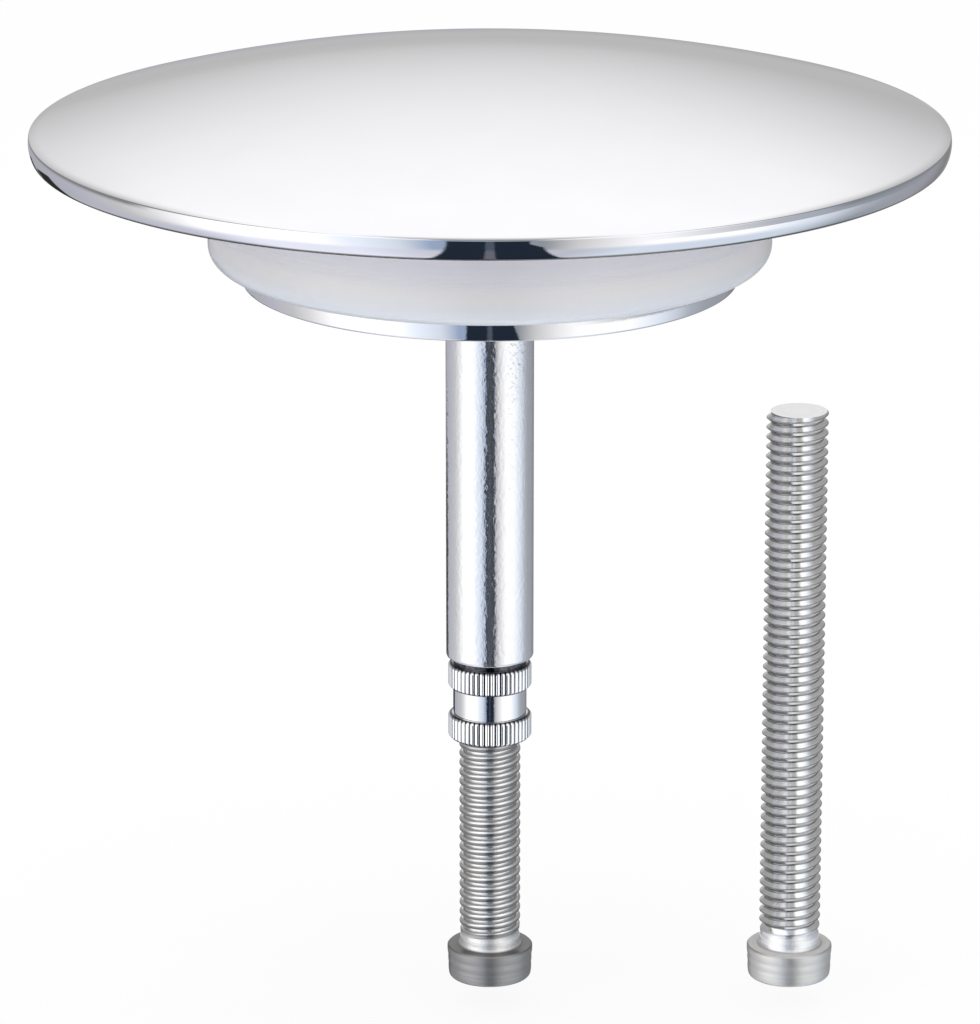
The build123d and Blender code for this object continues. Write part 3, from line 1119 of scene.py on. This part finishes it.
WALL_LAVENDER = (0.94, 0.94, 1.06)
WALL_BLUE = (0.9, 0.97, 1.07)
WALLS = [
    (-180, 0.42, WALL_LAVENDER),
    (-144, 0.55, WALL_LAVENDER),
    (-120, 0.66, WALL_LAVENDER),
    (-104, 0.72),
    (-92, 0.95),
    (-84, 1.2),
    (-74, 1.5),
    (-44, 1.5),
    (-34, 1.25, WALL_BLUE),
    (-22, 1.0, WALL_BLUE),
    (-14, 0.55, (0.75, 0.95, 1.3)),
    (13, 0.4, WALL_BLUE),
    (21, 0.8),
    (32, 1.15),
    (44, 1.45),
    (68, 1.4),
    (84, 1.15, WALL_BLUE),
    (96, 0.88, WALL_BLUE),
    (106, 0.6, WALL_BLUE),
    (118, 0.48, WALL_BLUE),
    (140, 0.42, WALL_LAVENDER),
    (158, 0.25),
    (180, 0.42),
]
TABLE_LAVENDER = (0.96, 0.98, 1.1)
TABLE_BLUE = (0.9, 1.0, 1.12)
TABLE = [
    (-180, 0.6),
    (-115, 0.66, TABLE_LAVENDER),
    (-90, 0.78, TABLE_LAVENDER),
    (-66, 1.15, TABLE_LAVENDER),
    (-38, 1.12, TABLE_LAVENDER),
    (-15, 0.8, TABLE_LAVENDER),
    (22, 0.7, TABLE_LAVENDER),
    (40, 0.98, TABLE_BLUE),
    (90, 0.92, TABLE_BLUE),
    (115, 0.42, TABLE_BLUE),
    (180, 0.5),
]
SKY = [(-12, 0.52), (0, 0.54), (3, 0.58), (6, 0.68), (15, 0.9), (24, 1.09), (32, 1.22), (42, 1.33)]


def sky_behind(nodes, x, z):
    """Overhead softbox behind the stopper: brighter upwards, darker to the sides."""
    low, high = (sin(radians(SKY[end][0])) for end in (0, -1))
    rise = nodes.remap(z, low, high)
    sky = nodes.ramp(rise, [((sin(radians(d)) - low) / (high - low), grey(level)) for d, level in SKY])
    from_middle = nodes.maths("ABSOLUTE", x)
    side_shade = nodes.maths("ADD", nodes.remap(from_middle, 0.05, 0.2, 0.0, 0.13), nodes.times(x, 0.3))
    near_horizon = nodes.times(by_elevation(nodes, z, 30, 8), by_elevation(nodes, z, 0, 5.74))
    sky = nodes.blend(nodes.maths("MULTIPLY", near_horizon, side_shade, True), sky, grey(0))
    return nodes.blend(nodes.remap(from_middle, 0.2, 0.42, smoothly=True), sky, grey(0.3))


def zone(nodes, value, start, end, soft):
    """1 where a value lies between two limits, with soft ends inside them."""
    return nodes.times(nodes.remap(value, start, start + soft), nodes.remap(value, end, end - soft))


def dark_card(nodes, x, y, z):
    """Mask of the dark card ahead: its right edge leans, and a faint slit runs down its middle."""
    left = -0.186
    soft = 0.013
    right = by_elevation(nodes, z, -18.66, -5.74, 0.222, 0.172)
    return nodes.times(
        nodes.remap(x, left, left + soft),
        nodes.remap(nodes.maths("SUBTRACT", x, right), 0.0, -soft),
        nodes.remap(y, -0.1, -0.2),
        by_elevation(nodes, z, 24, 16),
        by_elevation(nodes, z, -84, -78),
        nodes.remap(nodes.maths("ABSOLUTE", x), 0.014, 0.022, 0.78, 1.0),
    )


def mirrored_room(nodes, x, y, z):
    """What polished metal mirrors: the walls, with zone after zone laid over them."""
    bearing = nodes.maths("ARCTAN2", x, nodes.times(y, -1.0))
    behind = nodes.times(nodes.remap(y, 0.0, 0.15), by_elevation(nodes, z, -12, -2, smoothly=True))
    overhead = nodes.times(zone(nodes, x, -0.16, 0.16, 0.06), by_elevation(nodes, z, 53.13, 60.46))
    edge_line = zone(nodes, bearing, radians(-178), radians(-163), radians(1))
    low_line = zone(nodes, bearing, radians(-163), radians(-144), radians(2))
    far_right = nodes.times(nodes.remap(x, 0.6, 0.95), by_elevation(nodes, z, -14.18, -13.3), 0.7)
    layers = [
        (behind, sky_behind(nodes, x, z)),
        (overhead, grey(0.35)),
        (by_elevation(nodes, z, -22, -36, smoothly=True), by_bearing(nodes, bearing, TABLE)),
        (by_elevation(nodes, z, -58, -66), grey(1.1)),
        (nodes.times(edge_line, by_elevation(nodes, z, -13.7, -14.2)), grey(0.03)),
        (nodes.times(low_line, by_elevation(nodes, z, -16.14, -16.86)), grey(0.03)),
        (far_right, (0.3, 0.33, 0.38)),
        (dark_card(nodes, x, y, z), (0.02, 0.03, 0.05)),
    ]
    room = by_bearing(nodes, bearing, WALLS)
    for share, colour in layers:
        room = nodes.blend(share, room, colour)
    return room


def add_floor():
    """Pale floor that keeps the object's soft shadow."""
    studio = sizes().studio
    deselect()
    floor_z = screw_box[0].z - studio.floor_drop
    bpy.ops.mesh.primitive_plane_add(size=studio.floor_size, location=(0, 0, floor_z))
    floor = bpy.context.object
    floor.name = "studio_floor"
    floor.visible_glossy = False
    pale = rgba(sizes().finishes.floor)
    material, nodes, shader = new_material(
        "studio floor", Base_Color=pale, Roughness=0.9, Specular_IOR_Level=0.0
    )
    glow = nodes.add("ShaderNodeEmission")
    glow.inputs["Color"].default_value = rgba(grey(1))
    mixed = nodes.add("ShaderNodeMixShader")
    share = nodes.times(nodes.maths("MAXIMUM", *seen_directly(nodes)), 0.9)
    for place, source in enumerate((share, shader.outputs[0], glow.outputs[0])):
        nodes.link(source, mixed.inputs[place])
    nodes.link(mixed.outputs[0], material.node_tree.nodes["Material Output"].inputs["Surface"])
    floor.data.materials.append(material)


def add_lamp(name, place, power):
    """Soft square lamp aimed at the stopper, kept out of the metal's mirror images."""
    lamp_data = bpy.data.lights.new(name, "AREA")
    lamp_data.size = sizes().studio.lamp_size
    lamp_data.energy = power
    lamp = bpy.data.objects.new(name, lamp_data)
    bpy.context.scene.collection.objects.link(lamp)
    lamp.location = place
    aim = (cad_low + cad_high) / 2 - place
    lamp.rotation_euler = aim.to_track_quat("-Z", "Y").to_euler()
    lamp.visible_glossy = False


class MakeStudio(bpy.types.Operator):
    """Set up the camera, the pale floor and the soft studio light"""

    bl_idname = "drain_stopper.make_studio"
    bl_label = "Make studio"

    def execute(self, context):
        """Add camera, world, floor and lamps."""
        watts_and_places = {
            "left_softbox": (1.2, (-500, -500, 350)),
            "right_softbox": (0.8, (500, -450, 300)),
            "top_softbox": (1.5, (0, 100, 600)),
        }
        context.scene.view_settings.view_transform = "Standard"
        add_camera()
        add_world()
        add_floor()
        for name, (watts, place) in watts_and_places.items():
            add_lamp(name, Vector(place) * MM, watts)
        return {"FINISHED"}


class StopperSettings(bpy.types.PropertyGroup):
    """All settings of the drain stopper."""

    lid: PointerProperty(type=LidSizes)
    seal: PointerProperty(type=SealSizes)
    stem: PointerProperty(type=StemSizes)
    nut: PointerProperty(type=NutSizes)
    screw: PointerProperty(type=ScrewSizes)
    finishes: PointerProperty(type=Finishes)
    studio: PointerProperty(type=StudioSizes)


OPERATORS = (
    MakeStudio,
    MakeLid,
    MakeSeal,
    MakeRetainer,
    MakeStem,
    MakeNut,
    MakeAdjustingScrew,
    MakeSpareScrew,
    DressStud,
)


class StopperPanel(bpy.types.Panel):
    """The pieces and the studio, in the order of making"""

    bl_idname = "DRAIN_STOPPER_PT_panel"
    bl_label = "Drain stopper"
    bl_space_type = "VIEW_3D"
    bl_region_type = "UI"
    bl_category = "Drain stopper"

    def draw(self, context):
        """List the operators."""
        for operator in OPERATORS:
            self.layout.operator(operator.bl_idname)


CLASSES = (
    LidSizes,
    SealSizes,
    StemSizes,
    NutSizes,
    ScrewSizes,
    Finishes,
    StudioSizes,
    StopperSettings,
    *OPERATORS,
    StopperPanel,
)


def register():
    """Register the classes and hang the settings on the scene."""
    for item in CLASSES:
        bpy.utils.register_class(item)
    bpy.types.Scene.drain_stopper = PointerProperty(type=StopperSettings)


def unregister():
    """Take the settings and the classes away again."""
    del bpy.types.Scene.drain_stopper
    for item in reversed(CLASSES):
        bpy.utils.unregister_class(item)


def main():
    register()
    for operator in OPERATORS:
        group, name = operator.bl_idname.split(".")
        getattr(getattr(bpy.ops, group), name)()


if __name__ == "__main__":
    main()
